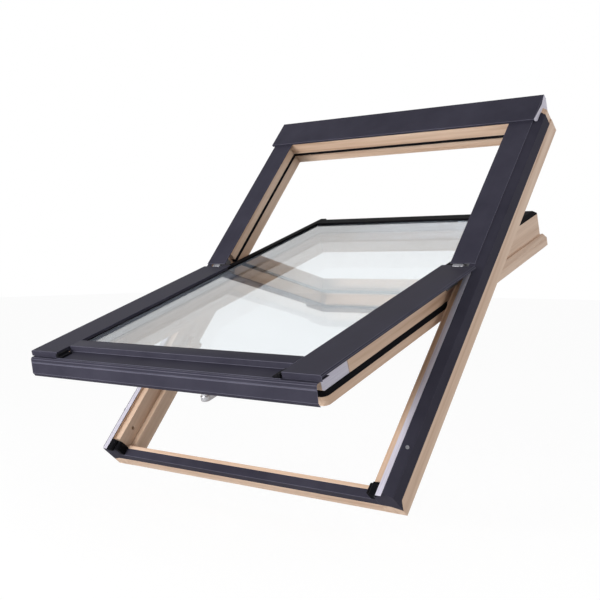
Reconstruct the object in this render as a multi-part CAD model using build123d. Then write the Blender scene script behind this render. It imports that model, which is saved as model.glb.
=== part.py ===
"""Centre-pivot roof window: pine frame and sash under folded aluminium covers.

Everything is drawn closed and flat first: X across, Y up the slope, Z out of the roof, with the
frame's bottom edge at Y 0 and the frame's room side at Z 0. The sash is then swung open about its
pivot and the whole window is tilted to the pitch of the roof.
"""
import os
from math import hypot, radians, tan

from build123d import *

os.makedirs("parts", exist_ok=True)

# Whole window
frame_width = 780.0
frame_height = 1000.0
cover_level = 80.0
roof_pitch = 50.0
rest_opening = 31.5
largest_opening = 130.0

# Pivot axis: its height up the slope and its depth below the covers
pivot_height = 525.5
axis_depth = 3.0

# Sheet metal and gaps shared by many pieces
sheet = 1.2
overrun = 5.0
sash_gap = 3.0
running_gap = 0.6
fit_clearance = 0.05

# Frame timber and the cladding that wraps its outer edge
jamb_width = 45.5
bare_band = 35.0
cladding_foot = 64.0
cladding_top = 77.5
cladding_slope_run = 15.0
cladding_ledge = 14.0
jamb_top = 71.0
jamb_bore_radius = 4.0
jamb_bore_depth = 12.0
jamb_bore_height = 66.0
jamb_bore_level = 54.0
heel_reach = 12.0
heel_run = 22.0
heel_foot = 18.0

# Bottom rail of the frame
rail_depth = 26.0
rail_top = 46.0
rail_bare_band = 26.0
rail_cover_width = 18.0

# Stops on the jambs and the gasket under the upper ones
stop_width = 14.5
stop_top = 35.0
upper_stop_foot = 45.0
lower_stop_run = 190.0
hinge_reach = 45.0
stop_end_gap = 5.0
frame_gasket_height = 9.0
gasket_inset = 1.5

# Top rail and hood
top_rail_depth = 36.5
hood_lap = 53.0
hood_overhang = 28.0
hood_inset = 9.5
hood_level = 86.0
hood_back_level = 74.0
hood_skirt_foot = 30.0
hood_end_plate = 2.0

# Upper covers
upper_cover_width = 58.0
cover_lip = 3.0
cover_under_hood = 16.0

# Seal strips and corner blocks on the lower jambs
seal_strip_height = 0.7
seal_strip_inset = 2.0
block_overhang = 6.0
block_end = 20.0
block_rise = 0.8
block_chamfer = 3.5
block_foot_reach = 10.5
block_foot_round = 7.0

# Sash timber
stile_width = 39.0
rebate_wall = 17.0
sash_overhang = 11.0
glass_ledge = 39.5
stile_top = 68.0
sash_rail_back = 98.0
sash_bottom_gap = 7.5
nose_overlap = 6.0
nose_level = 49.0
nose_top = 66.0
web_gap = 3.0
web_foot = 22.0
top_sight_depth = 55.0
top_rebate_depth = 34.0
corner_radius = 12.0

# Laths on the sash sides and the gasket under the lower ones
lath_rise = 2.0
lath_foot = 19.0
upper_lath_top = 35.5
sash_gasket_height = 12.0
sash_gasket_rise = 2.3

# Glass unit
tape = 2.0
pane = 4.0
spacer_height = 22.0
spacer_width = 7.0
spacer_inset = 4.0
edge_gap = 2.0
tape_width = 9.0
bead_gasket = 2.0

# Sash side covers, cut back round the hinges at their upper ends
side_cover_lap = 30.0
side_cover_inset = 9.5
side_cover_lip_foot = 74.2
cover_roll = 2.5
side_cover_front = -30.0
side_cover_end_gap = 8.0
tongue_gap = 3.0
tongue_reach = 4.0
outer_tongue_gap = 4.5
hinge_cover_gap = 2.5

# Bottom cover and fascia of the sash
bottom_cover_bite = 2.5
flat_strip_width = 32.0
step_run = 2.0
channel_level = 69.0
cover_joint_gap = 1.0
fascia_inset = 15.0
fascia_gap = 7.0
fascia_flange_back = -2.0
fascia_roll = 3.0
fascia_lean = 8.0
fascia_foot = 35.0
fascia_hem_run = 4.0
fascia_hem_drop = 8.0
channel_front_gap = 3.0
clip_length = 18.0
clip_width = 28.0
clip_height = 8.0
clip_notch_share = 0.45

# Plates on the lower corners of the sash
corner_plate_length = 78.0
corner_plate_gap = 0.5

# Black beads on the upper half of the glass
bead_top = 76.0
bead_outer_slope = 11.0
bead_outer_level = 71.0
bead_inner_chamfer = 1.5
bead_start_gap = 16.0

# Pivot hinges
hinge_plate = 3.0
hinge_plate_foot = 40.0
hinge_ear_half_width = 15.0
hinge_eye_radius = 6.0
pin_radius = 3.0
pin_head_radius = 5.0
pin_head = 2.0
bush_wall = 1.5
hub_gap = 1.0

# Handle and lock in the bottom rail of the sash
handle_height = 68.0
rosette_length = 52.0
rosette_width = 30.0
rosette_height = 8.0
rosette_chamfer = 5.0
rosette_bore_radius = 6.0
neck_radius = 8.0
neck_length = 14.0
grip_length = 108.0
grip_width = 21.0
grip_thickness = 11.0
lever_gap = 0.5
spindle_half = 3.5
spindle_bore_radius = 5.5
spindle_top = 33.0
bolt_width = 14.0
bolt_height = 10.0
bolt_level = 26.0
bolt_travel = 16.0
bolt_clearance = 0.3
keep_length = 60.0
keep_height = 22.0
keep_plate = 2.0
keep_pocket_gap = 1.0

# Screws
screw_head_radius = 3.6
screw_head = 1.2
screw_shank_radius = 1.8
screw_shank = 14.0
cladding_screw_height = 101.0
hinge_screw_shares = (-0.65, 0.65)

# Sizes that follow from the ones above
half_width = frame_width / 2
jamb_inner = half_width - jamb_width
stop_inner = jamb_inner - stop_width
stile_outer = stop_inner - sash_gap
stile_sight = stile_outer - stile_width
rebate_half_width = stile_outer - rebate_wall
upper_lath_outer = jamb_inner - sash_gap
lath_outer = stile_outer + lath_rise
axis_level = cover_level - axis_depth
cover_under = cover_level - sheet
cover_end_gap = axis_depth * tan(radians(largest_opening / 2)) + running_gap
hood_front = frame_height - hood_lap
hood_back = frame_height + hood_overhang
hood_half_width = half_width - hood_inset
slope_top = half_width - cladding_slope_run
ledge_inner = slope_top - cladding_ledge
cover_inner = slope_top - upper_cover_width
upper_cover_start = pivot_height + cover_end_gap
upper_cover_end = hood_front + cover_under_hood
top_rail_inner = frame_height - top_rail_depth
top_stop_inner = top_rail_inner - stop_width
sash_room = -sash_overhang
sash_bottom = rail_depth + sash_bottom_gap
nose_front = rail_depth - nose_overlap
web_front = rail_depth + web_gap
sash_top = top_stop_inner - sash_gap
top_lath_end = top_rail_inner - sash_gap
top_sight = sash_top - top_sight_depth
top_rebate = sash_top - top_rebate_depth
upper_stop_start = pivot_height + hinge_reach + stop_end_gap
lower_stop_end = pivot_height - lower_stop_run
lower_lath_end = pivot_height - hinge_reach - stop_end_gap
upper_lath_start = pivot_height + hinge_reach + stop_end_gap
glass_half_width = rebate_half_width - edge_gap
glass_bottom = sash_bottom + edge_gap
glass_top = top_rebate - edge_gap
bottom_cover_back = glass_bottom + bottom_cover_bite
inner_pane_level = glass_ledge + tape
spacer_level = inner_pane_level + pane
outer_pane_level = spacer_level + spacer_height
glass_face = outer_pane_level + pane
leg_foot = glass_face + bead_gasket
side_cover_inner = stile_outer - side_cover_lap
side_cover_outer = half_width - side_cover_inset
side_cover_end = pivot_height - side_cover_end_gap
fascia_half_width = half_width - fascia_inset
fascia_top = side_cover_front - fascia_gap
fascia_level = channel_level - sheet
corner_plate_end = sash_bottom + corner_plate_length
lower_lath_start = corner_plate_end + corner_plate_gap
bead_start = pivot_height + bead_start_gap
bush_radius = pin_radius + fit_clearance + bush_wall
mount_level = rail_bare_band / 2


def prism_y(points, start, end):
    """Section in X and Z, drawn out along the slope."""
    face = make_face(Polyline(*[(x, start, z) for x, z in points], close=True))
    return extrude(face, amount=end - start, dir=(0, 1, 0))


def prism_x(points, start, end):
    """Section in Y and Z, drawn out across the window."""
    face = make_face(Polyline(*[(start, y, z) for y, z in points], close=True))
    return extrude(face, amount=end - start, dir=(1, 0, 0))


def prism_z(points, start, end):
    """Plan in X and Y, raised from one level to another."""
    face = make_face(Polyline(*[(x, y, start) for x, y in points], close=True))
    return extrude(face, amount=end - start, dir=(0, 0, 1))


def block(x_range, y_range, z_range):
    """Box between two corners."""
    size = [high - low for low, high in (x_range, y_range, z_range)]
    middle = [(high + low) / 2 for low, high in (x_range, y_range, z_range)]
    return Pos(*middle) * Box(*size)


def rod(radius, start, end):
    """Round bar from one point to another."""
    along = Vector(*end) - Vector(*start)
    return extrude(Plane(origin=start, z_dir=along) * Circle(radius), amount=along.length)


def upright(radius, centre, levels):
    """Round bar square to the window, between two levels."""
    low, high = levels
    return rod(radius, (*centre, low), (*centre, high))


def inner_fold(points, thickness):
    """The fold line moved to its left by the sheet's thickness, with mitred corners."""
    moved = []
    for index, (u, v) in enumerate(points):
        normals = []
        for first in (index - 1, index):
            if 0 <= first < len(points) - 1:
                (u0, v0), (u1, v1) = points[first], points[first + 1]
                length = hypot(u1 - u0, v1 - v0)
                normals.append(((v0 - v1) / length, (u1 - u0) / length))
        nu = sum(normal[0] for normal in normals)
        nv = sum(normal[1] for normal in normals)
        scale = len(normals) * thickness / (nu * nu + nv * nv)
        moved.append((u + nu * scale, v + nv * scale))
    return moved


def folded(points, thickness=sheet):
    """Closed section of a sheet folded along the given line."""
    return points + inner_fold(points, thickness)[::-1]


def mirrored(shape):
    """The left-hand twin of a right-hand piece."""
    return mirror(shape, about=Plane.YZ)


def placed(shape):
    """Tilt to the roof's pitch, about the middle of the bottom rail's bare face."""
    return Rot(roof_pitch, 0, 0) * Pos(0, 0, -mount_level) * shape


def swung(shape):
    """Swing with the sash about the pivot axis."""
    to_axis = Pos(0, pivot_height, axis_level)
    return to_axis * Rot(-rest_opening, 0, 0) * to_axis.inverse() * shape


def save_frame(name, shape):
    export_step(placed(shape), f"parts/{name}.step")


def save_sash(name, shape):
    export_step(placed(swung(shape)), f"parts/{name}.step")


def save_pair(save, name, right_shape):
    """Write a right-hand piece and its left-hand twin."""
    save(f"{name}_right", right_shape)
    save(f"{name}_left", mirrored(right_shape))


def screw(seat, outward):
    """Screw with a low round head on its seat, driven in against the outward direction."""
    seat = Vector(*seat)
    outward = Vector(*outward).normalized()
    head = rod(screw_head_radius, seat, seat + outward * screw_head)
    return head + rod(screw_shank_radius, seat - outward * screw_shank, seat)


# Screws on the right: one on the cladding's slope, and flush ones in the two hinge plates
slope_middle = ((half_width + slope_top) / 2, cladding_screw_height, (cladding_foot + cladding_top) / 2)
slope_outward = (cladding_top - cladding_foot, 0, cladding_slope_run)
cladding_screw = screw(slope_middle, slope_outward)
hinge_screw_level = (hinge_plate_foot + stile_top) / 2
jamb_screws = []
stile_screws = []
for share in hinge_screw_shares:
    height = pivot_height + share * hinge_reach
    jamb_screws.append(screw((jamb_inner + screw_head, height, hinge_screw_level), (-1, 0, 0)))
    stile_seat = stile_outer + hinge_plate - screw_head
    stile_screws.append(screw((stile_seat, height, hinge_screw_level), (1, 0, 0)))
right_frame_screws = [cladding_screw] + jamb_screws
left_frame_screws = [mirrored(item) for item in right_frame_screws]
save_frame("frame_screws", Compound(children=right_frame_screws + left_frame_screws))
left_stile_screws = [mirrored(item) for item in stile_screws]
save_sash("sash_screws", Compound(children=stile_screws + left_stile_screws))

# Jambs: bare outer band, rebate for the cladding, hinge mortise and a bore for the cleaning bolt
cladding_line = [
    (half_width, bare_band),
    (half_width, cladding_foot),
    (slope_top, cladding_top),
    (ledge_inner, cladding_top),
]
jamb_section = [(jamb_inner, 0), (half_width, 0), (half_width, bare_band)]
jamb_section += inner_fold(cladding_line, sheet) + [(ledge_inner, jamb_top), (jamb_inner, jamb_top)]
end_plate_section = [
    (jamb_inner, rail_bare_band),
    (half_width - heel_run, rail_bare_band),
    (half_width, heel_foot),
]
end_plate_section += cladding_line[1:] + [(ledge_inner, jamb_top), (jamb_inner, jamb_top)]
heel_section = [(0, heel_foot), (heel_reach, bare_band), (0, bare_band)]
cladding_end = prism_y(end_plate_section, 0, sheet)
cladding_end += prism_x(heel_section, half_width - sheet, half_width)
jamb = prism_y(jamb_section, 0, frame_height) - cladding_end
jamb -= block(
    (jamb_inner - overrun, jamb_inner + hinge_plate),
    (pivot_height - hinge_reach, pivot_height + hinge_reach),
    (hinge_plate_foot, jamb_top + overrun),
)
jamb -= rod(
    jamb_bore_radius,
    (jamb_inner - overrun, jamb_bore_height, jamb_bore_level),
    (jamb_inner + jamb_bore_depth, jamb_bore_height, jamb_bore_level),
)
for item in right_frame_screws:
    jamb -= item
save_pair(save_frame, "frame_jamb", jamb)

# Cladding: one folded strip along each jamb, closed over the jamb's lower end with a slanted heel
jamb_cladding = prism_y(folded(cladding_line), 0, frame_height) + cladding_end
jamb_cladding -= cladding_screw
save_pair(save_frame, "jamb_cladding", jamb_cladding)

# Bottom rail with its folded cover and the pocket that takes the lock bolt
rail_cover_line = [(rail_cover_width, rail_top), (0, rail_top), (0, rail_bare_band)]
bottom_rail_section = [(0, 0), (rail_depth, 0), (rail_depth, rail_top), (rail_cover_width, rail_top)]
bottom_rail_section += inner_fold(rail_cover_line, sheet) + [(0, rail_bare_band)]
bolt_half_width = bolt_width / 2
bolt_half_height = bolt_height / 2
keep_face = rail_depth - keep_plate
bolt_tip = sash_bottom - bolt_travel
bottom_rail = prism_x(bottom_rail_section, -jamb_inner, jamb_inner)
bottom_rail -= block(
    (-keep_length / 2, keep_length / 2),
    (keep_face, rail_depth + overrun),
    (bolt_level - keep_height / 2, bolt_level + keep_height / 2),
)
bottom_rail -= block(
    (-bolt_half_width - keep_pocket_gap, bolt_half_width + keep_pocket_gap),
    (bolt_tip - keep_pocket_gap, rail_depth),
    (bolt_level - bolt_half_height - keep_pocket_gap, bolt_level + bolt_half_height + keep_pocket_gap),
)
save_frame("frame_bottom_rail", bottom_rail)
save_frame("frame_bottom_cladding", prism_x(folded(rail_cover_line), -jamb_inner, jamb_inner))

# Keep plate, let into the bottom rail's inner face
keep = block(
    (-keep_length / 2, keep_length / 2),
    (keep_face, rail_depth),
    (bolt_level - keep_height / 2, bolt_level + keep_height / 2),
)
keep -= block(
    (-bolt_half_width - keep_pocket_gap, bolt_half_width + keep_pocket_gap),
    (keep_face - overrun, rail_depth + overrun),
    (bolt_level - bolt_half_height - keep_pocket_gap, bolt_level + bolt_half_height + keep_pocket_gap),
)
save_frame("lock_keep", keep)

# Top rail between the jambs
frame_top_rail = block((-jamb_inner, jamb_inner), (top_rail_inner, frame_height), (0, jamb_top))
save_frame("frame_top_rail", frame_top_rail)

# Stops: on the room side below the pivot, on the weather side above it, mitred at the top corners
lower_stop = block((stop_inner, jamb_inner), (rail_depth, lower_stop_end), (0, stop_top))
save_pair(save_frame, "lower_stop", lower_stop)
upper_stop_plan = [
    (stop_inner, upper_stop_start),
    (jamb_inner, upper_stop_start),
    (jamb_inner, top_rail_inner),
    (stop_inner, top_stop_inner),
]
save_pair(save_frame, "upper_stop", prism_z(upper_stop_plan, upper_stop_foot, cover_under))
top_stop_plan = [
    (-stop_inner, top_stop_inner),
    (stop_inner, top_stop_inner),
    (jamb_inner, top_rail_inner),
    (-jamb_inner, top_rail_inner),
]
save_frame("top_stop", prism_z(top_stop_plan, upper_stop_foot, cover_level - cover_lip))

# Gasket under the upper stops, in one run round three sides
gasket_inner = stop_inner + gasket_inset
gasket_top_inner = top_stop_inner + gasket_inset
frame_gasket_plan = [
    (jamb_inner, upper_stop_start),
    (jamb_inner, top_rail_inner),
    (-jamb_inner, top_rail_inner),
    (-jamb_inner, upper_stop_start),
    (-gasket_inner, upper_stop_start),
    (-gasket_inner, gasket_top_inner),
    (gasket_inner, gasket_top_inner),
    (gasket_inner, upper_stop_start),
]
frame_gasket_foot = upper_stop_foot - frame_gasket_height
save_frame("frame_gasket", prism_z(frame_gasket_plan, frame_gasket_foot, upper_stop_foot))

# Upper covers: flat plates with a small lip at the opening and a rolled-down outer edge
upper_cover_line = [
    (slope_top, cladding_top),
    (slope_top, cover_level),
    (cover_inner, cover_level),
    (cover_inner, cover_level - cover_lip),
]
save_pair(save_frame, "upper_cover", prism_y(folded(upper_cover_line), upper_cover_start, upper_cover_end))

# Hood over the top rail: one folded sheet with a plate closing each end
hood_line = [
    (frame_height + sheet, hood_skirt_foot),
    (frame_height + sheet, jamb_top + sheet),
    (hood_back, hood_back_level),
    (hood_back, hood_level),
    (hood_front, hood_level),
    (hood_front, cover_level),
]
hood_inside = hood_half_width - hood_end_plate
hood = prism_x(folded(hood_line), -hood_inside, hood_inside)
hood_end = [(hood_front, cover_level), (frame_height + sheet, cover_level)]
hood_end += hood_line[1:5]
hood += prism_x(hood_end, hood_inside, hood_half_width)
hood += prism_x(hood_end, -hood_half_width, -hood_inside)
save_frame("hood", hood)

# Pale seal strips on the lower halves of the jambs, and a black block in each lower corner
seal_strip = block(
    (ledge_inner, slope_top - seal_strip_inset),
    (-block_overhang, lower_lath_end),
    (cladding_top, cladding_top + seal_strip_height),
)
save_pair(save_frame, "seal_strip", seal_strip)
block_top = cladding_top + block_rise
block_section = [
    (jamb_inner, jamb_top),
    (ledge_inner, jamb_top),
    (ledge_inner, block_top),
    (jamb_inner + block_chamfer, block_top),
    (jamb_inner, block_top - block_chamfer),
]
corner_block = prism_y(block_section, -block_overhang, block_end)
block_foot = block(
    (jamb_inner - block_foot_reach, jamb_inner),
    (0, block_end),
    (rail_top, jamb_top + block_rise),
)
foot_crown = block_foot.edges().filter_by(Axis.Y).group_by(Axis.X)[0].sort_by(Axis.Z)[-1:]
corner_block += fillet(foot_crown, block_foot_round)
save_pair(save_frame, "corner_block", corner_block)

# Sash stiles: rounded lower corners under the laths, the glass rebate on the weather side above
stile_foot = block((stile_sight, stile_outer), (sash_bottom, sash_top), (sash_room, lath_foot))
lower_corner = stile_foot.edges().filter_by(Axis.Z).group_by(Axis.Y)[0].sort_by(Axis.X)[-1:]
stile_section = [
    (stile_sight, lath_foot),
    (stile_outer, lath_foot),
    (stile_outer, stile_top),
    (rebate_half_width, stile_top),
    (rebate_half_width, glass_ledge),
    (stile_sight, glass_ledge),
]
stile = fillet(lower_corner, corner_radius) + prism_y(stile_section, sash_bottom, sash_top)
for item in stile_screws:
    stile -= item
save_pair(save_sash, "sash_stile", stile)

# Bottom rail: low under the glass, with a web and a nose in front of it and the lock's bores
rail_section = [
    (sash_bottom, sash_room),
    (sash_rail_back, sash_room),
    (sash_rail_back, glass_ledge),
    (sash_bottom, glass_ledge),
]
nose_section = [
    (sash_bottom, web_foot),
    (sash_bottom, nose_top),
    (nose_front, nose_top),
    (nose_front, nose_level),
    (web_front, nose_level),
    (web_front, web_foot),
]
sash_bottom_rail = prism_x(rail_section, -stile_sight, stile_sight)
sash_bottom_rail += prism_x(nose_section, -stile_outer, stile_outer)
sash_bottom_rail -= block(
    (-bolt_half_width - bolt_clearance, bolt_half_width + bolt_clearance),
    (nose_front - overrun, handle_height),
    (bolt_level - bolt_half_height - bolt_clearance, bolt_level + bolt_half_height + bolt_clearance),
)
spindle_bore_levels = (sash_room - overrun, spindle_top + bolt_clearance)
sash_bottom_rail -= upright(spindle_bore_radius, (0, handle_height), spindle_bore_levels)
save_sash("sash_bottom_rail", sash_bottom_rail)

# Top rail of the sash
sash_top_section = [
    (top_sight, sash_room),
    (sash_top, sash_room),
    (sash_top, stile_top),
    (top_rebate, stile_top),
    (top_rebate, glass_ledge),
    (top_sight, glass_ledge),
]
save_sash("sash_top_rail", prism_x(sash_top_section, -stile_sight, stile_sight))

# Laths on the sash: thin ones with a round end below the pivot, deep ones on the room side above it
lower_lath = block((stile_outer, lath_outer), (lower_lath_start, lower_lath_end), (lath_foot, stile_top))
round_end = lower_lath.edges().filter_by(Axis.X).sort_by(Axis.Y)[-2:]
lower_lath = fillet(round_end, (stile_top - lath_foot) / 2 - running_gap)
save_pair(save_sash, "lower_lath", lower_lath)
upper_lath_levels = (sash_room, upper_lath_top)
upper_lath = block((stile_outer, upper_lath_outer), (upper_lath_start, top_lath_end), upper_lath_levels)
save_pair(save_sash, "upper_lath", upper_lath)
save_sash("top_lath", block((-stile_outer, stile_outer), (sash_top, top_lath_end), upper_lath_levels))

# Gasket under the lower laths, in one run round the bottom with rounded corners
gasket_outer = stile_outer + sash_gasket_rise
gasket_reach = (sash_bottom - sash_gasket_rise, lower_lath_end)
gasket_levels = (lath_foot - sash_gasket_height, lath_foot)
gasket_solid = block((-gasket_outer, gasket_outer), gasket_reach, gasket_levels)
gasket_corners = gasket_solid.edges().filter_by(Axis.Z).sort_by(Axis.Y)[:2]
gasket_solid = fillet(gasket_corners, corner_radius + sash_gasket_rise)
gasket_hole = block((-stile_outer, stile_outer), (sash_bottom, lower_lath_end + overrun), gasket_levels)
hole_corners = gasket_hole.edges().filter_by(Axis.Z).sort_by(Axis.Y)[:2]
gasket_hole = fillet(hole_corners, corner_radius)
save_sash("sash_gasket", gasket_solid - gasket_hole)


# Glass unit: two panes, the spacer between them, and tape and gasket on its two faces
def ring(half_outer, bottom, top, width, levels):
    """Flat rectangular ring that lies along the glass edge."""
    outside = block((-half_outer, half_outer), (bottom, top), levels)
    half_hole = half_outer - width
    return outside - block((-half_hole, half_hole), (bottom + width, top - width), levels)


glass_x = (-glass_half_width, glass_half_width)
glass_y = (glass_bottom, glass_top)
save_sash("inner_pane", block(glass_x, glass_y, (inner_pane_level, spacer_level)))
save_sash("outer_pane", block(glass_x, glass_y, (outer_pane_level, glass_face)))
spacer_half = glass_half_width - spacer_inset
spacer_span = (glass_bottom + spacer_inset, glass_top - spacer_inset)
save_sash("glass_spacer", ring(spacer_half, *spacer_span, spacer_width, (spacer_level, outer_pane_level)))
save_sash("glazing_tape", ring(glass_half_width, *glass_y, tape_width, (glass_ledge, inner_pane_level)))
bead_width = glass_half_width - side_cover_inner
save_sash("bead_gasket", ring(glass_half_width, *glass_y, bead_width, (glass_face, leg_foot)))

# Side covers of the sash: folded plates from the fascia up to the pivot, closed at their front ends
rolled_edge = [
    (side_cover_outer, side_cover_lip_foot),
    (side_cover_outer, cover_level - cover_roll),
    (side_cover_outer - cover_roll, cover_level),
]
side_cover_line = rolled_edge + [(side_cover_inner, cover_level), (side_cover_inner, leg_foot)]
side_cover = prism_y(folded(side_cover_line), side_cover_front, side_cover_end)
front_face = [(side_cover_inner, cover_level), (side_cover_inner, fascia_level)]
front_face += [(side_cover_outer, fascia_level)] + rolled_edge[1:]
side_cover += prism_y(front_face, side_cover_front, side_cover_front + sheet)

# Two tongues carry each side cover on past the hinge, one on either side of it
tongue_levels = (cover_under, cover_level)
tongue_outer = stile_outer - tongue_gap
inner_tongue_span = (side_cover_end, pivot_height + tongue_reach)
side_cover += block((side_cover_inner, tongue_outer), inner_tongue_span, tongue_levels)
outer_tongue_inner = jamb_inner + hinge_plate + pin_head + hinge_cover_gap
outer_tongue_line = rolled_edge + [(outer_tongue_inner, cover_level)]
side_cover += prism_y(folded(outer_tongue_line), side_cover_end, pivot_height - outer_tongue_gap)
save_pair(save_sash, "sash_side_cover", side_cover)

# Bottom cover between the side covers: flat strip, step and drain channel
step_back = bottom_cover_back - flat_strip_width
channel_front = fascia_top + channel_front_gap
bottom_cover_fold = [
    (bottom_cover_back, leg_foot),
    (bottom_cover_back, cover_level),
    (step_back, cover_level),
    (step_back - step_run, channel_level),
    (channel_front, channel_level),
]
bottom_cover_half = side_cover_inner - cover_joint_gap
save_sash("sash_bottom_cover", prism_x(folded(bottom_cover_fold), -bottom_cover_half, bottom_cover_half))

# Fascia: flange under the channel, rolled top edge, a front that leans out and a hem turned in
fascia_line = [
    (fascia_flange_back, fascia_level),
    (fascia_top, fascia_level),
    (fascia_top - fascia_roll, fascia_level - fascia_roll),
    (fascia_top - fascia_lean, fascia_foot),
    (fascia_top - fascia_lean + fascia_hem_run, fascia_foot - fascia_hem_drop),
]
save_sash("sash_fascia", prism_x(folded(fascia_line), -fascia_half_width, fascia_half_width))

# Clips at the two ends of the drain channel: a low foot with a hook standing at its outer end
clip_inner = bottom_cover_half - clip_length
clip_hook = bottom_cover_half - clip_length * clip_notch_share
clip_section = [
    (clip_inner, channel_level),
    (bottom_cover_half, channel_level),
    (bottom_cover_half, channel_level + clip_height),
    (clip_hook, channel_level + clip_height),
    (clip_hook, channel_level + clip_height * clip_notch_share),
    (clip_inner, channel_level + clip_height * clip_notch_share),
]
clip = prism_y(clip_section, channel_front, channel_front + clip_width)
save_sash("channel_clips", Compound(children=[clip, mirrored(clip)]))

# Plates on the lower corners, from the nose of the bottom rail up to the lower laths
corner_plate_section = [
    (nose_front, nose_level),
    (web_front, nose_level),
    (web_front, web_foot),
    (sash_bottom, lath_foot),
    (corner_plate_end, lath_foot),
    (corner_plate_end, stile_top),
    (nose_front, stile_top),
]
save_pair(save_sash, "corner_plate", prism_x(corner_plate_section, stile_outer, stile_outer + sheet))

# Black beads that hold the glass above the pivot
bead_section = [
    (side_cover_inner, leg_foot),
    (rebate_half_width, leg_foot),
    (rebate_half_width, stile_top),
    (stile_outer, stile_top),
    (stile_outer, bead_outer_level),
    (stile_outer - bead_outer_slope, bead_top),
    (side_cover_inner + bead_inner_chamfer, bead_top),
    (side_cover_inner, bead_top - bead_inner_chamfer),
]
save_pair(save_sash, "upper_bead", prism_y(bead_section, bead_start, sash_top))
top_bead_inner = glass_top - bead_width
top_bead_section = [
    (top_bead_inner, leg_foot),
    (top_rebate, leg_foot),
    (top_rebate, stile_top),
    (sash_top, stile_top),
    (sash_top, bead_outer_level),
    (sash_top - bead_outer_slope, bead_top),
    (top_bead_inner + bead_inner_chamfer, bead_top),
    (top_bead_inner, bead_top - bead_inner_chamfer),
]
save_sash("top_bead", prism_x(top_bead_section, -side_cover_inner, side_cover_inner))


# Pivot hinges: a plate with an eye on the jamb, a plate with a hub on the stile, pin and bush
def axis_at(x):
    """Point of the pivot axis."""
    return (x, pivot_height, axis_level)


def hinge_leaf(x_start, x_end):
    """Plate beside the timber, with an ear that rises to the pivot axis."""
    base = block(
        (x_start, x_end),
        (pivot_height - hinge_reach, pivot_height + hinge_reach),
        (hinge_plate_foot, stile_top),
    )
    ear_points = [
        (pivot_height - hinge_ear_half_width, stile_top),
        (pivot_height + hinge_ear_half_width, stile_top),
        (pivot_height + hinge_eye_radius, axis_level),
        (pivot_height - hinge_eye_radius, axis_level),
    ]
    ear = prism_x(ear_points, x_start, x_end)
    return base + ear + rod(hinge_eye_radius, axis_at(x_start), axis_at(x_end))


frame_plate_end = jamb_inner + hinge_plate
sash_plate_end = stile_outer + hinge_plate
hub_end = jamb_inner - hub_gap
frame_plate = hinge_leaf(jamb_inner, frame_plate_end)
frame_plate -= rod(pin_radius, axis_at(jamb_inner - overrun), axis_at(frame_plate_end + overrun))
for item in jamb_screws:
    frame_plate -= item
save_pair(save_frame, "hinge_frame_plate", frame_plate)
pin = rod(pin_radius, axis_at(stile_outer), axis_at(frame_plate_end))
pin += rod(pin_head_radius, axis_at(frame_plate_end), axis_at(frame_plate_end + pin_head))
save_pair(save_frame, "pivot_pin", pin)
sash_plate = hinge_leaf(stile_outer, sash_plate_end)
sash_plate += rod(hinge_eye_radius, axis_at(sash_plate_end), axis_at(hub_end))
sash_plate -= rod(bush_radius, axis_at(stile_outer - overrun), axis_at(hub_end + overrun))
for item in stile_screws:
    sash_plate -= item
save_pair(save_sash, "hinge_sash_plate", sash_plate)
bush = rod(bush_radius, axis_at(stile_outer), axis_at(hub_end))
bush -= rod(pin_radius + fit_clearance, axis_at(stile_outer - overrun), axis_at(hub_end + overrun))
save_pair(save_sash, "friction_bush", bush)

# Handle: rosette on the rail, lever on its neck, spindle and the bolt that it drives
rosette_face = sash_room - rosette_height
rosette = block(
    (-rosette_width / 2, rosette_width / 2),
    (handle_height - rosette_length / 2, handle_height + rosette_length / 2),
    (rosette_face, sash_room),
)
rosette = chamfer(rosette.edges().filter_by(Axis.Z), rosette_chamfer)
rosette -= upright(rosette_bore_radius, (0, handle_height), (rosette_face - overrun, sash_room + overrun))
save_sash("handle_rosette", rosette)
neck_start = rosette_face - lever_gap
grip_top = neck_start - neck_length
neck = upright(neck_radius, (0, handle_height), (grip_top, neck_start))
grip = block(
    (-grip_width / 2, grip_width / 2),
    (handle_height - grip_width / 2, handle_height - grip_width / 2 + grip_length),
    (grip_top - grip_thickness, grip_top),
)
grip = fillet(grip.edges().filter_by(Axis.Z), grip_width / 2 - running_gap)
spindle = block(
    (-spindle_half, spindle_half),
    (handle_height - spindle_half, handle_height + spindle_half),
    (neck_start, spindle_top),
)
save_sash("handle_lever", neck + grip)
save_sash("handle_spindle", spindle)
bolt = block(
    (-bolt_half_width, bolt_half_width),
    (sash_bottom, handle_height - spindle_bore_radius),
    (bolt_level - bolt_half_height, bolt_level + bolt_half_height),
)
save_sash("lock_bolt", bolt)
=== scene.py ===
"""Centre-pivot roof window, dressed: lacquered pine under dark coated aluminium covers."""
from math import cos, radians, sin

import bmesh
import bpy
from mathutils import Matrix, Vector


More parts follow.
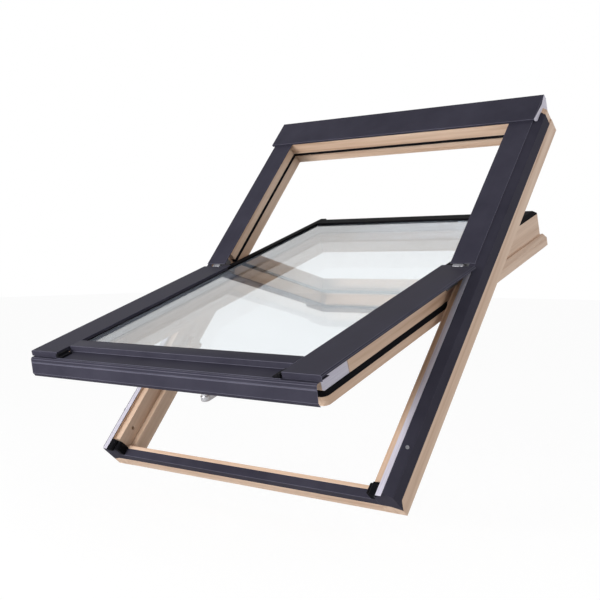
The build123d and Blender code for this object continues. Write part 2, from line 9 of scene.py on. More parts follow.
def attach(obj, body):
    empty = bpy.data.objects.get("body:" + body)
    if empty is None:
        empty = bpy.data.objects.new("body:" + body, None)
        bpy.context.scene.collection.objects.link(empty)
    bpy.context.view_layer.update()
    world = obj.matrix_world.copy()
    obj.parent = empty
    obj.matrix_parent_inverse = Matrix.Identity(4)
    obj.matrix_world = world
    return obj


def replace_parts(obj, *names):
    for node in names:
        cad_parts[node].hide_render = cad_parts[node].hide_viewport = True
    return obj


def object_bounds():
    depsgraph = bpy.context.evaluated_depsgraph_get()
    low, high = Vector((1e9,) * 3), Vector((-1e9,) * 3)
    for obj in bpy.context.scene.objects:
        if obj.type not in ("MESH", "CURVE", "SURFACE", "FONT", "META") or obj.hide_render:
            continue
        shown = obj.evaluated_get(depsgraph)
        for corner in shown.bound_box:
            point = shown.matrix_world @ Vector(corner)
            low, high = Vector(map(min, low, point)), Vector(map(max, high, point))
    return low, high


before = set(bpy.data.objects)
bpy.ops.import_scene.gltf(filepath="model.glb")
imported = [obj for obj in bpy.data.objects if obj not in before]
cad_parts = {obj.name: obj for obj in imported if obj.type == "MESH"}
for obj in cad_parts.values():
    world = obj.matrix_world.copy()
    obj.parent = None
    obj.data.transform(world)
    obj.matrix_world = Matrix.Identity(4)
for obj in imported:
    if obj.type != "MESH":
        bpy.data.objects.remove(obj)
cad_low, cad_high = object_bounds()

# Frame timber: two jambs, a rail at each end and the stops nailed inside them. Planed pine with
# eased arrises under clear lacquer, so the grain runs along each length and the sheen is soft.
roof_pitch = radians(50.0)
arris = 0.0015
edge_segments = 2
sharp_turn = radians(25.0)
flat_turn = radians(1.0)
weld_distance = 0.00001
grain_along = 0.55
grain_across = 0.016
grain_detail = 3.0
grain_roughness = 0.55
grain_waver = 0.6
fibre_along = 0.05
fibre_across = 0.0012
fibre_detail = 2.0
fibre_roughness = 0.6
fibre_shade = 0.82
fibre_share = 0.5
fibre_strength = 0.12
fibre_relief = 0.0002
pine_streak = (0.44, 0.27, 0.175, 1)
pine_warm = (0.58, 0.40, 0.285, 1)
pine_pale = (0.67, 0.49, 0.365, 1)
streak_place = 0.28
warm_place = 0.42
pale_place = 0.62
lacquer_dull = 0.46
lacquer_smooth = 0.34
lacquer_weight = 0.15
lacquer_roughness = 0.25
low_place = 0.3
high_place = 0.7


def merged(node):
    """Working copy of a solid, with its loose triangles joined and flat faces made whole."""
    shape = bmesh.new()
    shape.from_mesh(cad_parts[node].data)
    bmesh.ops.remove_doubles(shape, verts=shape.verts, dist=weld_distance)
    bmesh.ops.dissolve_limit(shape, angle_limit=flat_turn, verts=shape.verts, edges=shape.edges)
    return shape


def rounded(shape, width, segments=edge_segments, least_turn=sharp_turn):
    """Round every edge that turns more than the given angle, and return the rounding's faces."""
    sharp = [edge for edge in shape.edges if edge.calc_face_angle(0.0) > least_turn]
    return bmesh.ops.bevel(
        shape, geom=sharp, offset=width, offset_type="OFFSET", segments=segments, profile=0.5,
        affect="EDGES", clamp_overlap=True, material=-1,
    )["faces"]


def finished(shape, name, body, material):
    """Make the mesh a piece of the given body and slot."""
    mesh = bpy.data.meshes.new(name)
    shape.to_mesh(mesh)
    shape.free()
    mesh.materials.append(material)
    piece = bpy.data.objects.new(name, mesh)
    bpy.context.collection.objects.link(piece)
    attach(piece, body)
    return piece


def standing_in(shape, node, body, material):
    """Make the mesh the piece that is seen in place of a node."""
    piece = finished(shape, f"{node}_eased", body, material)
    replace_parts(piece, node)
    return piece


def eased(node, body, material, width, segments=edge_segments):
    """Copy of a solid with its edges rounded, standing in for the node on the same body."""
    shape = merged(node)
    rounded(shape, width, segments)
    standing_in(shape, node, body, material)


def material_nodes(name):
    """New node material, with its nodes, its links and its shader."""
    material = bpy.data.materials.new(name)
    material.use_nodes = True
    tree = material.node_tree
    return material, tree.nodes, tree.links, tree.nodes["Principled BSDF"]


def stretched(nodes, links, turn, feature):
    """Object coordinates turned into the piece's own slope and divided by a feature's size."""
    place = nodes.new("ShaderNodeTexCoord")
    mapping = nodes.new("ShaderNodeMapping")
    mapping.vector_type = "TEXTURE"
    mapping.inputs["Rotation"].default_value = (turn, 0, 0)
    mapping.inputs["Scale"].default_value = feature
    links.new(place.outputs["Object"], mapping.inputs["Vector"])
    return mapping.outputs["Vector"]


def lengthwise(along, across, along_x=False):
    """Size of a feature that is drawn out along the piece."""
    return (along, across, across) if along_x else (across, along, across)


def noise(nodes, links, vector, detail, roughness=0.5, distortion=0.0):
    """Noise whose unit is the feature that the coordinates were divided by."""
    texture = nodes.new("ShaderNodeTexNoise")
    texture.inputs["Scale"].default_value = 1.0
    texture.inputs["Detail"].default_value = detail
    texture.inputs["Roughness"].default_value = roughness
    texture.inputs["Distortion"].default_value = distortion
    links.new(vector, texture.inputs["Vector"])
    return texture.outputs["Fac"]


def ramp(nodes, links, factor, stops):
    """Colour ramp through the given places and colours."""
    node = nodes.new("ShaderNodeValToRGB")
    band = node.color_ramp
    for place, _ in stops[1:-1]:
        band.elements.new(place)
    for element, (place, colour) in zip(band.elements, stops):
        element.position = place
        element.color = colour
    links.new(factor, node.inputs["Fac"])
    return node.outputs["Color"]


def two_tones(nodes, links, factor, low, high):
    """Soft change from one colour to another over the middle of the noise."""
    return ramp(nodes, links, factor, [(low_place, low), (high_place, high)])


def grey(value):
    """Neutral colour of the given level."""
    return (value, value, value, 1)


def bumped(nodes, links, shader, height, strength, distance):
    """Fine relief on the shader's normal."""
    bump = nodes.new("ShaderNodeBump")
    bump.inputs["Strength"].default_value = strength
    bump.inputs["Distance"].default_value = distance
    links.new(height, bump.inputs["Height"])
    links.new(bump.outputs["Normal"], shader.inputs["Normal"])


def pine(name, turn, along_x):
    """Lacquered pine whose grain follows the piece's length."""
    material, nodes, links, shader = material_nodes(name)
    grain_place = stretched(nodes, links, turn, lengthwise(grain_along, grain_across, along_x))
    fibre_place = stretched(nodes, links, turn, lengthwise(fibre_along, fibre_across, along_x))
    bands = noise(nodes, links, grain_place, grain_detail, grain_roughness, grain_waver)
    fibres = noise(nodes, links, fibre_place, fibre_detail, fibre_roughness)
    tone = ramp(
        nodes, links, bands,
        [(streak_place, pine_streak), (warm_place, pine_warm), (pale_place, pine_pale)],
    )
    streaks = two_tones(nodes, links, fibres, grey(fibre_shade), grey(1.0))
    mix = nodes.new("ShaderNodeMix")
    mix.data_type = "RGBA"
    mix.blend_type = "MULTIPLY"
    mix.inputs["Factor"].default_value = fibre_share
    links.new(tone, mix.inputs["A"])
    links.new(streaks, mix.inputs["B"])
    links.new(mix.outputs["Result"], shader.inputs["Base Color"])
    sheen = two_tones(nodes, links, bands, grey(lacquer_dull), grey(lacquer_smooth))
    links.new(sheen, shader.inputs["Roughness"])
    shader.inputs["Coat Weight"].default_value = lacquer_weight
    shader.inputs["Coat Roughness"].default_value = lacquer_roughness
    bumped(nodes, links, shader, fibres, fibre_strength, fibre_relief)
    return material


frame_pine_long = pine("frame pine along the slope", roof_pitch, False)
frame_pine_cross = pine("frame pine across", roof_pitch, True)
for node in ("frame_jamb_left", "frame_jamb_right", "lower_stop_left", "lower_stop_right",
             "upper_stop_left", "upper_stop_right"):
    eased(node, "frame", frame_pine_long, arris)
for node in ("frame_bottom_rail", "frame_top_rail", "top_stop"):
    eased(node, "frame", frame_pine_cross, arris)

# Cladding of the frame: roll-formed aluminium strip, powder coated in a dark grey-brown, with a fine
# orange-peel; a lighter coat on the folds is a painted highlight. It is screwed through the slope into
# the jambs and stops short of their upper ends, so that bare timber shows beside the hood.
fold_radius = 0.0011
shallow_fold = radians(8.0)
cladding_cut_back = 0.016
coat_dark = (0.029, 0.0275, 0.041, 1)
coat_light = (0.042, 0.040, 0.057, 1)
# The two fold colours below are a painted highlight: a lighter coat on the rounded folds, where gloss
# would catch the light.
fold_highlight_dark = (0.085, 0.083, 0.112, 1)
fold_highlight_light = (0.115, 0.112, 0.148, 1)
coat_smooth = 0.44
coat_dull = 0.54
coat_specular = 0.03
cloud_size = 0.11
cloud_detail = 3.0
cloud_roughness = 0.6
peel_size = 0.0009
peel_detail = 1.0
peel_strength = 0.10
peel_relief = 0.0001
slope = Vector((0, cos(roof_pitch), sin(roof_pitch)))


def powder_coat(name, turn, dark, light):
    """Powder coat with a soft cloudiness and a fine peel."""
    material, nodes, links, shader = material_nodes(name)
    cloud_place = stretched(nodes, links, turn, (cloud_size,) * 3)
    peel_place = stretched(nodes, links, turn, (peel_size,) * 3)
    clouds = noise(nodes, links, cloud_place, cloud_detail, cloud_roughness)
    peel = noise(nodes, links, peel_place, peel_detail)
    links.new(two_tones(nodes, links, clouds, dark, light), shader.inputs["Base Color"])
    sheen = two_tones(nodes, links, clouds, grey(coat_smooth), grey(coat_dull))
    links.new(sheen, shader.inputs["Roughness"])
    shader.inputs["Specular IOR Level"].default_value = coat_specular
    bumped(nodes, links, shader, peel, peel_strength, peel_relief)
    return material


def upper_verts(shape, along):
    """The half of the points that lies further along the given direction."""
    places = [vert.co.dot(along) for vert in shape.verts]
    middle = (min(places) + max(places)) / 2
    return [vert for vert in shape.verts if vert.co.dot(along) > middle]


def coated(shape, node, body, coat, fold_highlight_coat, least_turn=sharp_turn):
    """Coated sheet with rounded folds, whose lighter coat there is a painted highlight, standing in for a
    node.
    """
    for face in rounded(shape, fold_radius, edge_segments, least_turn):
        # The rounded folds take the lighter coat, a painted highlight.
        face.material_index = 1
    sheet = standing_in(shape, node, body, coat)
    sheet.data.materials.append(fold_highlight_coat)


frame_coat = powder_coat("frame powder coat", roof_pitch, coat_dark, coat_light)
# Powder coat for the folds, made lighter as a painted highlight.
frame_fold_highlight_coat = powder_coat("frame powder coat with painted fold highlight", roof_pitch, fold_highlight_dark, fold_highlight_light)
for node in ("jamb_cladding_left", "jamb_cladding_right"):
    cladding = merged(node)
    bmesh.ops.translate(cladding, verts=upper_verts(cladding, slope), vec=-slope * cladding_cut_back)
    coated(cladding, node, "frame", frame_coat, frame_fold_highlight_coat, shallow_fold)
coated(merged("frame_bottom_cladding"), "frame_bottom_cladding", "frame", frame_coat, frame_fold_highlight_coat)

# Upper covers and hood: folded aluminium plates in the same coat, hooked over the cladding above
# the pivot. The hood is one folded sheet over the top rail and the ends of the covers.
for node in ("upper_cover_left", "upper_cover_right", "hood"):
    coated(merged(node), node, "frame", frame_coat, frame_fold_highlight_coat)

# Pale seal strips on the lower jambs and corner plates on the sash: thin bare aluminium, brushed
# along its length and dulled to a bluish grey, pressed into place.
sash_opening = radians(31.5)
sash_tilt = roof_pitch - sash_opening
strip_bright = (0.62, 0.60, 0.68, 1)
strip_dull = (0.46, 0.44, 0.53, 1)
strip_metallic = 0.25
strip_hem = 0.0003
strip_run_on = 0.036
brush_along = 0.12
brush_across = 0.0008
brush_detail = 2.0
brush_dull = 0.44
brush_smooth = 0.32
brush_strength = 0.08
brush_relief = 0.0001


def brushed_metal(name, turn, bright, dull, metallic):
    """Bare metal with brush lines along its length."""
    material, nodes, links, shader = material_nodes(name)
    brush_place = stretched(nodes, links, turn, lengthwise(brush_along, brush_across))
    lines = noise(nodes, links, brush_place, brush_detail)
    links.new(two_tones(nodes, links, lines, dull, bright), shader.inputs["Base Color"])
    sheen = two_tones(nodes, links, lines, grey(brush_dull), grey(brush_smooth))
    links.new(sheen, shader.inputs["Roughness"])
    shader.inputs["Metallic"].default_value = metallic
    bumped(nodes, links, shader, lines, brush_strength, brush_relief)
    return material


frame_strip = brushed_metal("seal strip", roof_pitch, strip_bright, strip_dull, strip_metallic)
sash_strip = brushed_metal("corner plate", sash_tilt, strip_bright, strip_dull, strip_metallic)
for node in ("seal_strip_left", "seal_strip_right"):
    strip = merged(node)
    bmesh.ops.translate(strip, verts=upper_verts(strip, slope), vec=slope * strip_run_on)
    rounded(strip, strip_hem)
    standing_in(strip, node, "frame", frame_strip)
for node in ("corner_plate_left", "corner_plate_right"):
    eased(node, "sash", sash_strip, strip_hem)

# Hood end plates: sheet that closes each end of the hood and runs down behind the jamb as a gusset,
# cut to the hood's section from one blank and pressed in under its edge. Their pale colour is a painted
# highlight for the light on the hood's ends.
plate_sheet = 0.0006
plate_hem = 0.00015
hood_depth = 0.081
hood_lip = 0.006
hood_back_height = 0.012
gusset_drop = 0.058
gusset_gap = 0.0012
across = Vector((1, 0, 0))
frame_out = Vector((0, -sin(roof_pitch), cos(roof_pitch)))
sides = (("left", -1), ("right", 1))


def reach(node, along):
    """Lowest and highest place of a node along a direction."""
    places = [vert.co.dot(along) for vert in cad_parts[node].data.vertices]
    return min(places), max(places)


def raised_verts(result):
    """The new points of an extrusion."""
    return [item for item in result["geom"] if isinstance(item, bmesh.types.BMVert)]


hood_back = reach("hood", slope)[1]
hood_front = hood_back - hood_depth
hood_top = reach("hood", frame_out)[1]
hood_half = reach("hood", across)[1]
jamb_end = reach("frame_jamb_right", slope)[1] + gusset_gap
plate_outline = (
    (hood_front, hood_top - hood_lip),
    (hood_front, hood_top),
    (hood_back, hood_top),
    (hood_back, hood_top - hood_back_height),
    (jamb_end, hood_top - gusset_drop),
    (jamb_end, hood_top - hood_lip),
)
for side, sign in sides:
    plate = bmesh.new()
    for along, level in plate_outline:
        plate.verts.new(slope * along + frame_out * level + across * sign * hood_half)
    bmesh.ops.contextual_create(plate, geom=plate.verts[:])
    skin = raised_verts(bmesh.ops.extrude_face_region(plate, geom=plate.faces[:]))
    bmesh.ops.translate(plate, verts=skin, vec=across * sign * plate_sheet)
    bmesh.ops.recalc_face_normals(plate, faces=plate.faces)
    rounded(plate, plate_hem)
    # The pale seal-strip material on these plates is a painted highlight for the light on the hood's ends.
    finished(plate, f"hood_end_plate_painted_highlight_{side}", "frame", frame_strip)

# Corner blocks at the feet of the jambs and clips at the ends of the sash's channel: black plastic,
# injection moulded in a spark-eroded tool and pushed onto the metal.
plastic_dark = (0.004, 0.004, 0.005, 1)
plastic_light = (0.008, 0.008, 0.010, 1)
plastic_specular = 0.02
block_roughness = 0.55
clip_roughness = 0.45
roughness_spread = 0.12
spark_size = 0.0006
spark_detail = 2.0
spark_strength = 0.10
spark_relief = 0.0001


def black_moulding(name, turn, roughness, grain):
    """Black plastic or rubber with a fine moulded grain."""
    material, nodes, links, shader = material_nodes(name)
    sparks = noise(nodes, links, stretched(nodes, links, turn, (grain,) * 3), spark_detail)
    links.new(two_tones(nodes, links, sparks, plastic_dark, plastic_light), shader.inputs["Base Color"])
    sheen = two_tones(nodes, links, sparks, grey(roughness), grey(roughness + roughness_spread))
    links.new(sheen, shader.inputs["Roughness"])
    shader.inputs["Specular IOR Level"].default_value = plastic_specular
    bumped(nodes, links, shader, sparks, spark_strength, spark_relief)
    return material


frame_plastic = black_moulding("corner block plastic", roof_pitch, block_roughness, spark_size)
sash_plastic = black_moulding("clip plastic", sash_tilt, clip_roughness, spark_size)
for node in ("corner_block_left", "corner_block_right"):
    eased(node, "frame", frame_plastic, arris)
eased("channel_clips", "sash", sash_plastic, arris)

# Gaskets: black rubber, extruded with a groove between two lips, matt and slightly grainy. They are
# pressed into place round the frame and the sash, and the flat ones bed the glass.
rubber_grain = 0.0011
rubber_roughness = 0.55
rubber_round = 0.000375
tape_round = 0.0005
lip_height = 0.0028
groove_depth = 0.0011
standing_lean = 0.2
sash_slope = Vector((0, cos(sash_tilt), sin(sash_tilt)))
sash_out = Vector((0, -sin(sash_tilt), cos(sash_tilt)))


def grooved_gasket(node, body, material, outward):
    """Rubber run with a groove between two lips along its standing faces."""
    shape = merged(node)
    standing = [face for face in shape.faces if abs(face.normal.dot(outward)) < standing_lean]
    bmesh.ops.inset_region(
        shape, faces=standing, thickness=lip_height, depth=-groove_depth,
        use_even_offset=True, use_boundary=True,
    )
    rounded(shape, rubber_round)
    standing_in(shape, node, body, material)


frame_rubber = black_moulding("frame gasket rubber", roof_pitch, rubber_roughness, rubber_grain)
sash_rubber = black_moulding("sash gasket rubber", sash_tilt, rubber_roughness, rubber_grain)
grooved_gasket("frame_gasket", "frame", frame_rubber, frame_out)
grooved_gasket("sash_gasket", "sash", sash_rubber, sash_out)
for node in ("bead_gasket", "glazing_tape"):
    eased(node, "sash", sash_rubber, tape_round)

# Sash timber: stiles, rails and lower laths of the same lacquered pine, planed and jointed like the
# frame, with the grain tilted along the open sash.
sash_pine_long = pine("sash pine along the slope", sash_tilt, False)
sash_pine_cross = pine("sash pine across", sash_tilt, True)
for node in ("sash_stile_left", "sash_stile_right", "lower_lath_left", "lower_lath_right"):
    eased(node, "sash", sash_pine_long, arris)
for node in ("sash_bottom_rail", "sash_top_rail"):
    eased(node, "sash", sash_pine_cross, arris)

# Tenons of the sash's top rail: pine haunches that fill the upper ends of the glass rebates, glued
# and planed flush with the stiles.
rebate_width = 0.022
tenon_depth = 0.034
tenon_height = 0.0285
tenon_round = 0.0005
stile_top = reach("sash_stile_right", sash_out)[1]
stile_end = reach("sash_stile_right", sash_slope)[1]
stile_sight = reach("sash_top_rail", across)[1]


def tilted_block(size, tilt, middle):
    """Cuboid turned to a slope, from its size and the place of its middle."""
    shape = bmesh.new()
    bmesh.ops.create_cube(shape, size=1.0)
    bmesh.ops.scale(shape, vec=size, verts=shape.verts)
    bmesh.ops.rotate(shape, matrix=Matrix.Rotation(tilt, 3, "X"), verts=shape.verts)
    bmesh.ops.translate(shape, vec=middle, verts=shape.verts)
    return shape


for side, sign in sides:
    middle = sash_slope * (stile_end - tenon_depth / 2) + sash_out * (stile_top - tenon_height / 2)
    middle += across * sign * (stile_sight + rebate_width / 2)
    tenon = tilted_block((rebate_width, tenon_depth, tenon_height), sash_tilt, middle)
    rounded(tenon, tenon_round)
    finished(tenon, f"sash_top_tenon_{side}", "sash", sash_pine_cross)

# Upper laths: strips of pine glued round the top of the sash on its room side, with a long chamfer
# along the outer edge, planed on before they are lacquered.
lath_chamfer = 0.009
lath_set_back = 0.010
lath_drop = 0.018
lath_round = 0.00075
for node, material, away in (("upper_lath_left", sash_pine_long, -across),
                             ("upper_lath_right", sash_pine_long, across),
                             ("top_lath", sash_pine_cross, sash_slope)):
    lath = merged(node)
    bmesh.ops.translate(lath, verts=upper_verts(lath, sash_slope), vec=-sash_slope * lath_set_back)
    high = set(upper_verts(lath, sash_out))
    bmesh.ops.translate(lath, verts=list(high), vec=-sash_out * lath_drop)
    outer = set(upper_verts(lath, away))
    crest = [edge for edge in lath.edges if all(vert in high and vert in outer for vert in edge.verts)]
    bmesh.ops.bevel(
        lath, geom=crest, offset=lath_chamfer, offset_type="OFFSET", segments=1, profile=0.5,
        affect="EDGES", clamp_overlap=True, material=-1,
    )
    rounded(lath, lath_round)
    standing_in(lath, node, "sash", material)

# Glass unit: two clear float glass panes with seamed edges, with the faint unevenness of a wiped
# surface, glued to a ribbed aluminium spacer and bedded on the rebate.
seam = 0.0006
glass_tint = (0.925, 0.95, 0.965, 1)
glass_ior = 1.5
film_size = 0.2
film_detail = 2.0
film_start = 0.45
film_end = 0.8
film_roughness = 0.015
spacer_bright = (0.30, 0.32, 0.36, 1)
spacer_dull = (0.16, 0.17, 0.20, 1)
spacer_metallic = 0.8
rib_shares = (0.18, 0.36, 0.64, 0.82)
rib_rise = 0.0006


def sliced(shape, level):
    """Cut all faces along a plane at the given level of the sash."""
    bmesh.ops.bisect_plane(
        shape, geom=shape.verts[:] + shape.edges[:] + shape.faces[:],
        plane_co=sash_out * level, plane_no=sash_out,
    )


def face_level(face):
    """Level of a face's middle in the sash."""
    return face.calc_center_median().dot(sash_out)


clear_glass, glass_nodes, glass_links, glass_shader = material_nodes("clear glass")
glass_shader.inputs["Base Color"].default_value = glass_tint
glass_shader.inputs["Transmission Weight"].default_value = 1.0
glass_shader.inputs["IOR"].default_value = glass_ior
film_place = stretched(glass_nodes, glass_links, sash_tilt, (film_size,) * 3)
film = ramp(
    glass_nodes, glass_links, noise(glass_nodes, glass_links, film_place, film_detail),
    [(film_start, grey(0.0)), (film_end, grey(film_roughness))],
)
glass_links.new(film, glass_shader.inputs["Roughness"])
for node in ("inner_pane", "outer_pane"):
    eased(node, "sash", clear_glass, seam)
spacer_metal = brushed_metal("spacer", sash_tilt, spacer_bright, spacer_dull, spacer_metallic)
spacer = merged("glass_spacer")
spacer_low, spacer_high = reach("glass_spacer", sash_out)
rib_levels = [spacer_low + share * (spacer_high - spacer_low) for share in rib_shares]
for level in rib_levels:
    sliced(spacer, level)
ribs = [
    face for face in spacer.faces if abs(face.normal.dot(sash_out)) < standing_lean
    and any(low < face_level(face) < high for low, high in (rib_levels[:2], rib_levels[2:]))
]
bmesh.ops.inset_region(spacer, faces=ribs, thickness=rib_rise, depth=rib_rise, use_even_offset=True)
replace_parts(finished(spacer, "glass_spacer_ribbed", "sash", spacer_metal), "glass_spacer")

# Glazing beads above the pivot: extruded black profiles, matt, pressed down on the glass and the
# timber round the upper half of the sash.
bead_roughness = 0.55
bead_round = 0.00075
bead_black = black_moulding("bead", sash_tilt, bead_roughness, rubber_grain)
for node in ("upper_bead_left", "upper_bead_right", "top_bead"):
    eased(node, "sash", bead_black, bead_round)

# Sash covers: folded plates along both sides below the pivot and the stepped bottom cover with its
# drain channel, aluminium in the dark powder coat, screwed and clipped to the timber.
sash_coat = powder_coat("sash powder coat", sash_tilt, coat_dark, coat_light)
# Powder coat for the folds, made lighter as a painted highlight.
sash_fold_highlight_coat = powder_coat("sash powder coat with painted fold highlight", sash_tilt, fold_highlight_dark, fold_highlight_light)
for node in ("sash_side_cover_left", "sash_side_cover_right", "sash_bottom_cover"):
    coated(merged(node), node, "sash", sash_coat, sash_fold_highlight_coat)

# Fascia: the coated plate in front of the bottom rail, hooked under the bottom cover, with a groove
# roll-formed along it below its upper edge.
groove_drop = 0.0090
groove_height = 0.0022
groove_inset = 0.0009
groove_wall = 0.00045
front_facing = 0.8
fascia = merged("sash_fascia")
groove_top = reach("sash_fascia", sash_out)[1] - groove_drop
groove_foot = groove_top - groove_height
for level in (groove_top, groove_foot):
    sliced(fascia, level)
groove = [
    face for face in fascia.faces
    if face.normal.dot(-sash_slope) > front_facing and groove_foot < face_level(face) < groove_top
]
bmesh.ops.inset_region(
    fascia, faces=groove, thickness=groove_wall, depth=-groove_inset, use_even_offset=True,
)
coated(fascia, "sash_fascia", "sash", sash_coat, sash_fold_highlight_coat)

# Channel returns: narrow plates that close the two ends of the drain channel, cut from the same coated
# aluminium sheet and set just beside the ends of the bottom cover.
return_sheet = 0.0012
return_hem = 0.0003
return_gap = 0.0011
return_front = 0.006
return_back = 0.004
channel_low, channel_high = reach("sash_bottom_cover", sash_out)
channel_front, channel_back = reach("sash_bottom_cover", sash_slope)
channel_half = reach("sash_bottom_cover", across)[1]
return_start, return_end = channel_front + return_front, channel_back - return_back
return_foot, return_top = channel_low + return_sheet, channel_high - return_sheet
for side, sign in sides:
    middle = sash_slope * (return_start + return_end) / 2 + sash_out * (return_foot + return_top) / 2
    middle += across * sign * (channel_half + return_gap + return_sheet / 2)
    flank_size = (return_sheet, return_end - return_start, return_top - return_foot)
    flank = tilted_block(flank_size, sash_tilt, middle)
    rounded(flank, return_hem)
    finished(flank, f"channel_return_{side}", "sash", sash_coat)

# Pivot hinges: pressed steel plates, dull from their phosphate coat, with an eye on the jamb and a hub
# on the stile. A turned and zinc plated pin joins them inside a black friction bush.
phosphate_bright = (0.24, 0.24, 0.26, 1)
phosphate_dull = (0.15, 0.15, 0.17, 1)
phosphate_metallic = 0.2
zinc_bright = (0.60, 0.60, 0.62, 1)
zinc_dull = (0.42, 0.42, 0.45, 1)
zinc_metallic = 0.7
bush_roughness = 0.42
plate_edge = 0.0006
frame_phosphate = brushed_metal(
    "frame phosphate", roof_pitch, phosphate_bright, phosphate_dull, phosphate_metallic,
)
sash_phosphate = brushed_metal(
    "sash phosphate", sash_tilt, phosphate_bright, phosphate_dull, phosphate_metallic,
)
frame_zinc = brushed_metal("frame zinc", roof_pitch, zinc_bright, zinc_dull, zinc_metallic)
sash_zinc = brushed_metal("sash zinc", sash_tilt, zinc_bright, zinc_dull, zinc_metallic)
bush_plastic = black_moulding("bush plastic", sash_tilt, bush_roughness, spark_size)
for side, _ in sides:
    eased(f"hinge_frame_plate_{side}", "frame", frame_phosphate, plate_edge)
    eased(f"hinge_sash_plate_{side}", "sash", sash_phosphate, plate_edge)
    eased(f"pivot_pin_{side}", "frame", frame_zinc, plate_edge)
    bush_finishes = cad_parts[f"friction_bush_{side}"].data.materials
    bush_finishes.clear()
    bush_finishes.append(bush_plastic)

# Hinge caps: small zinc plated steel plates on the ledge of each jamb, pressed down beside the pivot,
# where they are seen in the gap between the covers.
cap_width = 0.0155
cap_length = 0.030
cap_sheet = 0.0008
cap_hem = 0.0002
cap_gap = 0.0005
pivot_along = sum(reach("pivot_pin_right", slope)) / 2
ledge_level = reach("frame_top_rail", frame_out)[1]
jamb_inner = reach("frame_jamb_right", across)[0]
for side, sign in sides:
    middle = slope * pivot_along + frame_out * (ledge_level + cap_sheet / 2)
    middle += across * sign * (jamb_inner + cap_gap + cap_width / 2)
    cap = tilted_block((cap_width, cap_length, cap_sheet), roof_pitch, middle)
    rounded(cap, cap_hem)
    finished(cap, f"hinge_cap_{side}", "frame", frame_zinc)

# Screws: phosphated steel with low round heads and a cross recess, driven into the hinge plates and
# down through the cladding's slope.
head_radius = 0.0036
head_height = 0.0012
head_grid = 5
recess_depth = 0.0009
recess_cells = 1.25
shank_radius = 0.0018
shank_length = 0.014
shank_segments = 16
disc_corners = 12


def cross_head(shape, seat, outward):
    """Screw on its seat: a low round head with a plus-shaped recess, and a plain shank behind it."""
    top = bmesh.ops.create_grid(
        shape, x_segments=head_grid, y_segments=head_grid, size=head_radius,
    )["verts"]
    rim = [vert for vert in top if vert.is_boundary]
    for vert in rim:
        vert.co = vert.co.normalized() * head_radius
    cell = 2 * head_radius / head_grid
    faces = {face for vert in top for face in vert.link_faces}
    plus = [face for face in faces if face.calc_center_median().length < cell * recess_cells]
    edges = list({edge for vert in rim for edge in vert.link_edges if edge.is_boundary})
    skirt = raised_verts(bmesh.ops.extrude_edge_only(shape, edges=edges))
    bmesh.ops.translate(shape, verts=skirt, vec=(0, 0, -head_height))
    well = raised_verts(bmesh.ops.extrude_face_region(shape, geom=plus))
    bmesh.ops.delete(shape, geom=plus, context="FACES_ONLY")
    bmesh.ops.translate(shape, verts=well, vec=(0, 0, -recess_depth))
    shank = bmesh.ops.create_cone(
        shape, cap_ends=True, segments=shank_segments, radius1=shank_radius, radius2=shank_radius,
        depth=shank_length,
    )["verts"]
    bmesh.ops.translate(shape, verts=shank, vec=(0, 0, -head_height - shank_length / 2))
    made = list(set(top + skirt + well + shank))
    bmesh.ops.translate(shape, verts=made, vec=(0, 0, head_height))
    place = Matrix.Translation(seat) @ outward.to_track_quat("Z", "Y").to_matrix().to_4x4()
    bmesh.ops.transform(shape, matrix=place, verts=made)


def screw_seats(node):
    """Seat and outward direction of each screw in a node."""
    solid = merged(node)
    left = dict.fromkeys(solid.verts)
    while left:
        group = [left.popitem()[0]]
        for vert in group:
            near = [edge.other_vert(vert) for edge in vert.link_edges]
            near = [other for other in near if other in left]
            for other in near:
                del left[other]
            group.extend(near)
        discs = [face for vert in group for face in vert.link_faces if len(face.verts) > disc_corners]
        disc = max(discs, key=lambda face: face.calc_area())
        yield disc.calc_center_median() - disc.normal * head_height, disc.normal.copy()
    solid.free()


for node, body, material in (("frame_screws", "frame", frame_phosphate),
                             ("sash_screws", "sash", sash_phosphate)):
    screws = bmesh.new()
    for seat, outward in screw_seats(node):
        cross_head(screws, seat, outward)
    bmesh.ops.recalc_face_normals(screws, faces=screws.faces)
    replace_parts(finished(screws, f"{node}_cross_head", body, material), node)

# Lock: a flat bolt in the bottom rail of the sash, the spindle that drives it and the keep plate in
# the frame, all of zinc plated steel with broken edges.
eased("lock_keep", "frame", frame_zinc, plate_edge)
eased("lock_bolt", "bolt", sash_zinc, plate_edge)
eased("handle_spindle", "lever", sash_zinc, plate_edge)

# Handle: cast aluminium lever with a rounded grip on a chamfered rosette, satin silver, screwed to
# the room side of the bottom rail.
silver_bright = (0.66, 0.66, 0.68, 1)
silver_dull = (0.52, 0.52, 0.55, 1)
silver_metallic = 0.9
grip_round = 0.0035
grip_segments = 4
satin_silver = brushed_metal("satin silver", sash_tilt, silver_bright, silver_dull, silver_metallic)
eased("handle_rosette", "sash", satin_silver, arris)
eased("handle_lever", "lever", satin_silver, grip_round, grip_segments)

# Floor: a pale painted floor a little below the window. It glows for most of what the eye and the
# glass see of it, so that it runs into the white behind, and keeps a faint shadow.
floor_drop = 0.06
floor_reach = 12.0
floor_tone = 0.9
floor_roughness = 0.9
glow_strength = 1.06
glow_share = 0.86


def larger(nodes, links, first, second):
    """The larger of two values."""
    node = nodes.new("ShaderNodeMath")
    node.operation = "MAXIMUM"
    links.new(first, node.inputs[0])
    links.new(second, node.inputs[1])
    return node.outputs[0]


def mixed(nodes, links, factor, first, second):
    """Two shaders mixed by a factor."""
    node = nodes.new("ShaderNodeMixShader")
    links.new(factor, node.inputs["Fac"])
    links.new(first, node.inputs[1])
    links.new(second, node.inputs[2])
    return node.outputs["Shader"]


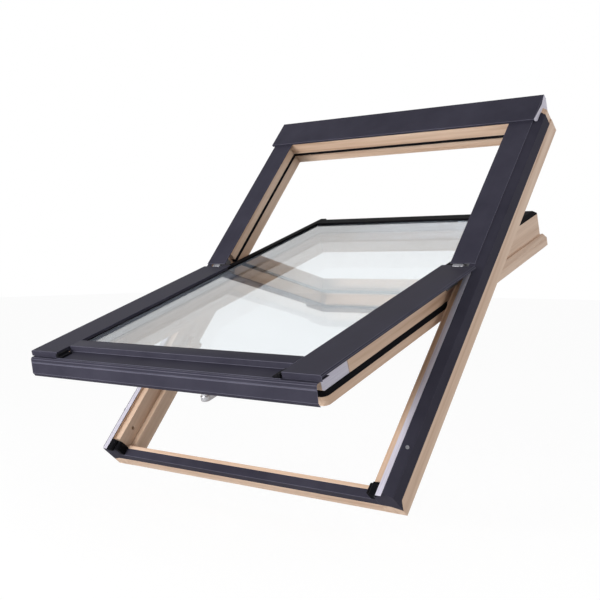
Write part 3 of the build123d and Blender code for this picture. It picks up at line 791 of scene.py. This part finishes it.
floor_shape = bmesh.new()
bmesh.ops.create_grid(floor_shape, x_segments=1, y_segments=1, size=floor_reach)
bmesh.ops.translate(floor_shape, vec=(0, 0, cad_low.z - floor_drop), verts=floor_shape.verts)
floor_mesh = bpy.data.meshes.new("floor")
floor_shape.to_mesh(floor_mesh)
floor_shape.free()
floor = bpy.data.objects.new("floor", floor_mesh)
bpy.context.collection.objects.link(floor)
floor_white, floor_nodes, floor_links, floor_paint = material_nodes("floor white")
floor_paint.inputs["Base Color"].default_value = grey(floor_tone)
floor_paint.inputs["Roughness"].default_value = floor_roughness
floor_glow = floor_nodes.new("ShaderNodeEmission")
floor_glow.inputs["Color"].default_value = grey(1.0)
floor_glow.inputs["Strength"].default_value = glow_strength
ray = floor_nodes.new("ShaderNodeLightPath").outputs
floor_seen = larger(floor_nodes, floor_links, ray["Is Camera Ray"], ray["Is Transmission Ray"])
glow = floor_nodes.new("ShaderNodeMath")
glow.operation = "MULTIPLY"
glow.inputs[1].default_value = glow_share
floor_links.new(floor_seen, glow.inputs[0])
floor_surface = mixed(
    floor_nodes, floor_links, glow.outputs[0], floor_paint.outputs["BSDF"], floor_glow.outputs["Emission"],
)
floor_links.new(floor_surface, floor_nodes["Material Output"].inputs["Surface"])
floor_mesh.materials.append(floor_white)

# World: a white studio. It is white to the eye, in reflections and through glass, and otherwise gives
# a plain soft light from all round.
soft_strength = 0.38
white_strength = 1.0
world = bpy.data.worlds.new("studio")
world.use_nodes = True
bpy.context.scene.world = world
world_nodes, world_links = world.node_tree.nodes, world.node_tree.links
soft = world_nodes["Background"]
soft.inputs["Color"].default_value = grey(1.0)
soft.inputs["Strength"].default_value = soft_strength
white = world_nodes.new("ShaderNodeBackground")
white.inputs["Color"].default_value = grey(1.0)
white.inputs["Strength"].default_value = white_strength
ray = world_nodes.new("ShaderNodeLightPath").outputs
direct = larger(world_nodes, world_links, ray["Is Camera Ray"], ray["Is Glossy Ray"])
open_view = larger(world_nodes, world_links, direct, ray["Is Transmission Ray"])
surround = mixed(
    world_nodes, world_links, open_view, soft.outputs["Background"], white.outputs["Background"],
)
world_links.new(surround, world_nodes["World Output"].inputs["Surface"])

# Lamps: a broad soft box low on the front left, and a weaker and smaller one high on the right, both
# turned to the middle of the window.
lamp_aim = Vector((0, 0.3, 0.4))
front_place = Vector((-1.0, -3.0, 0.15))
front_size = 2.0
front_power = 200.0
right_place = Vector((2.9, -0.3, 1.2))
right_size = 1.6
right_power = 24.0
for name, place, size, power in (("soft box front left", front_place, front_size, front_power),
                                 ("soft box right", right_place, right_size, right_power)):
    lamp = bpy.data.lights.new(name, "AREA")
    lamp.size = size
    lamp.energy = power
    lamp_object = bpy.data.objects.new(name, lamp)
    lamp_object.location = place
    lamp_object.rotation_euler = (lamp_aim - place).to_track_quat("-Z", "Y").to_euler()
    bpy.context.collection.objects.link(lamp_object)

# Camera: at the height of the window's middle, in front of it and to its right, looking back and to
# the left, almost level.
sensor_width = 36.0
focal_length = 58.6
camera_place = Vector((1.3262, -1.4960, 0.4499))
camera_right = Vector((0.78607, 0.61814, -0.0018))
camera_forward = Vector((-0.61777, 0.7855, -0.03675))
camera_up = camera_right.cross(camera_forward)
camera_turn = Matrix((camera_right, camera_up, -camera_forward)).transposed().to_4x4()
camera_data = bpy.data.cameras.new("camera")
camera_data.sensor_width = sensor_width
camera_data.lens = focal_length
camera = bpy.data.objects.new("camera", camera_data)
camera.matrix_world = Matrix.Translation(camera_place) @ camera_turn
bpy.context.collection.objects.link(camera)
bpy.context.scene.camera = camera
bpy.context.scene.view_settings.view_transform = "Standard"
